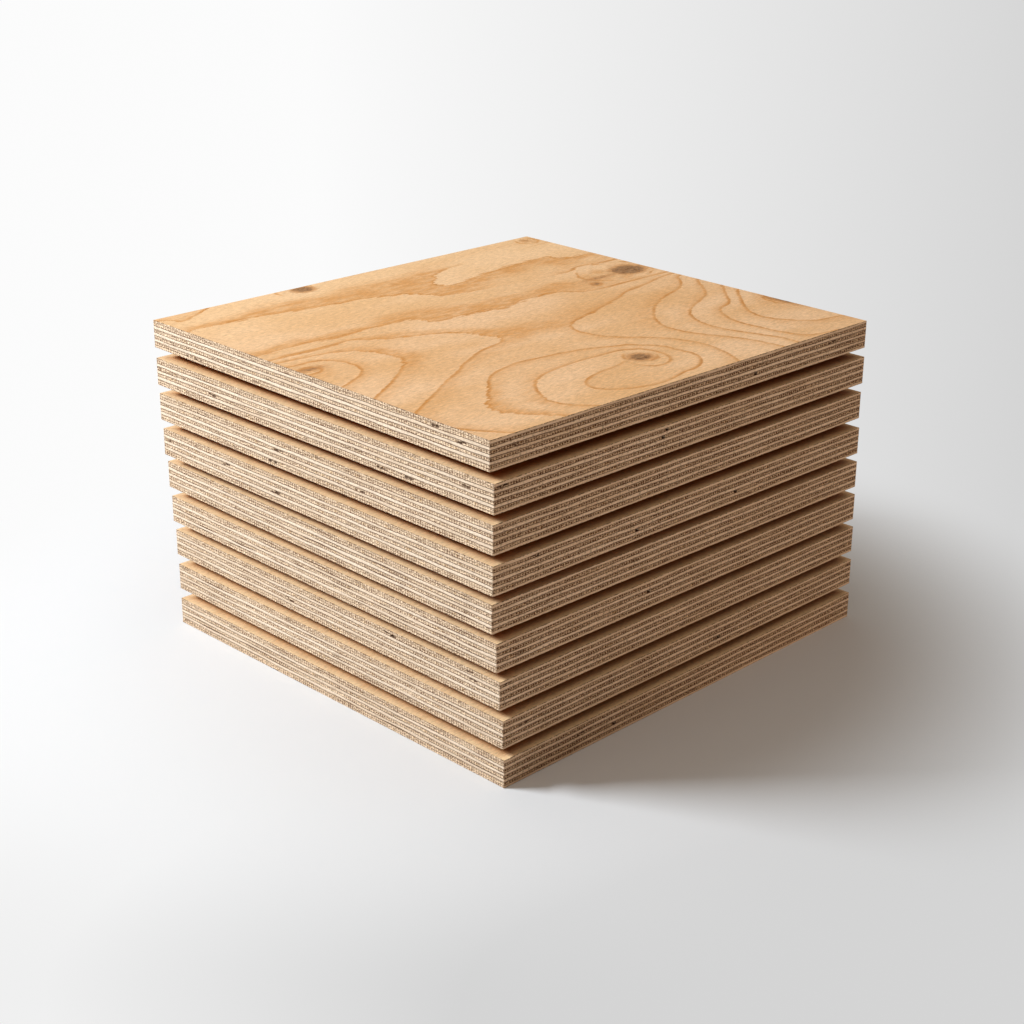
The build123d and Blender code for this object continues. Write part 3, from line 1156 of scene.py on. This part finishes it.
def add_floor():
    """A wide pale floor that takes the shadow, and that the camera sees as a backdrop further off, with painted
    shade to its right and front.
    """
    bpy.ops.mesh.primitive_plane_add(size=floor_size)
    floor = bpy.context.object
    floor.name = "floor"
    g = Graph(bpy.data.materials.new("floor"))
    place = g.node("ShaderNodeNewGeometry", {}, "Position")
    level_right = (math.cos(camera_azimuth), math.sin(camera_azimuth), 0)
    level_away = (-math.sin(camera_azimuth), math.cos(camera_azimuth), 0)
    right = g.vector_math("DOT_PRODUCT", place, level_right, "Value")
    away = g.vector_math("DOT_PRODUCT", place, level_away, "Value")
    distance = g.vector_math("LENGTH", place, output="Value")

    camera_reach = math.hypot(*camera_place[:2])
    bearing = g.math("DIVIDE", right, g.math("MAXIMUM", g.plus(away, camera_reach), nearest_row))
    # Painted shade on the backdrop: darker in front of the stack and toward the camera's right
    in_front = g.rise(away, front_from, front_to, 0.0, backdrop_front)
    sloped = g.times(bearing, g.rise(away, slope_from, slope_to, 0.0, backdrop_slope))
    toned = g.math("SUBTRACT", g.math("SUBTRACT", backdrop_middle, sloped), in_front)
    brightest = g.math("SUBTRACT", brightest_tone, g.times(in_front, brightest_in_front))
    backdrop_tone = g.math("MINIMUM", g.math("MAXIMUM", toned, darkest_tone), brightest)
    horizon_share = g.rise(distance, horizon_from, horizon_to)
    to_horizon = g.times(horizon_share, g.math("SUBTRACT", horizon_tone, backdrop_tone))
    glow = g.node("ShaderNodeEmission", {"Color": g.grey(g.plus(backdrop_tone, to_horizon))})

    # Painted falloff: the floor's white darkens toward the camera's right
    left_white, right_white = floor_white + floor_painted_falloff, floor_white - floor_painted_falloff
    white = g.rise(right, -floor_white_reach, floor_white_reach, left_white, right_white)
    seen = g.node("ShaderNodeLightPath", {}, "Is Camera Ray")
    bounce = g.times(g.math("SUBTRACT", 1.0, seen), g.rise(right, 0.0, floor_bounce_over, 0.0, floor_bounce))
    g.join(g.shader, {
        "Base Color": g.grey(white), "Roughness": floor_roughness, "Specular IOR Level": floor_specular,
        "Emission Color": (*fill_colour, 1.0), "Emission Strength": bounce,
    })
    g.show(glow, g.times(seen, g.rise(distance, backdrop_from, backdrop_to)))
    floor.data.materials.append(g.owner)


def dress_stack():
    """Dresses every sheet and every pair of battens over its CAD nodes."""
    face = face_material()
    edge = veneer_edge_material()
    long_ply = long_ply_material()
    # Painted shade: dark undersides for the sheets that lie on others
    underside = plain_wood_material("undersides", underside_shade_brown, 0.9)
    cross_ply = cross_ply_material()
    inside = plain_wood_material("inside_plies", ply_brown, 0.6)
    batten = plain_wood_material("battens", pine, 0.8)
    sheets = [Sheet(number) for number in range(1, sheet_count + 1)]
    for sheet in sheets:
        number = sheet.number
        if number == 1:
            figure, spacing = top_figure(), top_grid_spacing
        else:
            # A covered face takes the full painted shade of the sheet above
            figure, spacing = plain_figure(number, sheet, 1.0), hidden_grid_spacing
        top = veneer_piece(sheet, True, spacing, figure, [face, edge])
        core = core_piece(sheet, [long_ply, cross_ply, inside])
        # The bottom sheet's underside keeps the face wood; the undersides over the gaps carry painted shade
        back_wood = face if number == sheet_count else underside
        back_figure = plain_figure(number + 20, sheet, 0.0)
        back = veneer_piece(sheet, False, hidden_grid_spacing, back_figure, [back_wood, edge])
        for piece, kinds, slot in (
            (top, ["face_veneer"], "face_veneer"),
            (core, ["cross_plies", "long_plies"], "long_plies"),
            (back, ["back_veneer"], "back_veneer"),
        ):
            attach(piece, "root")
            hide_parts(*[f"sheet_{number}_{kind}" for kind in kinds])
        if number > 1:
            pair = batten_piece(sheet, [batten])
            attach(pair, "root")
            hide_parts(f"battens_on_sheet_{number}")


bpy.context.scene.view_settings.view_transform = "Standard"
add_camera()
add_key_light()
add_world()
add_floor()
dress_stack()
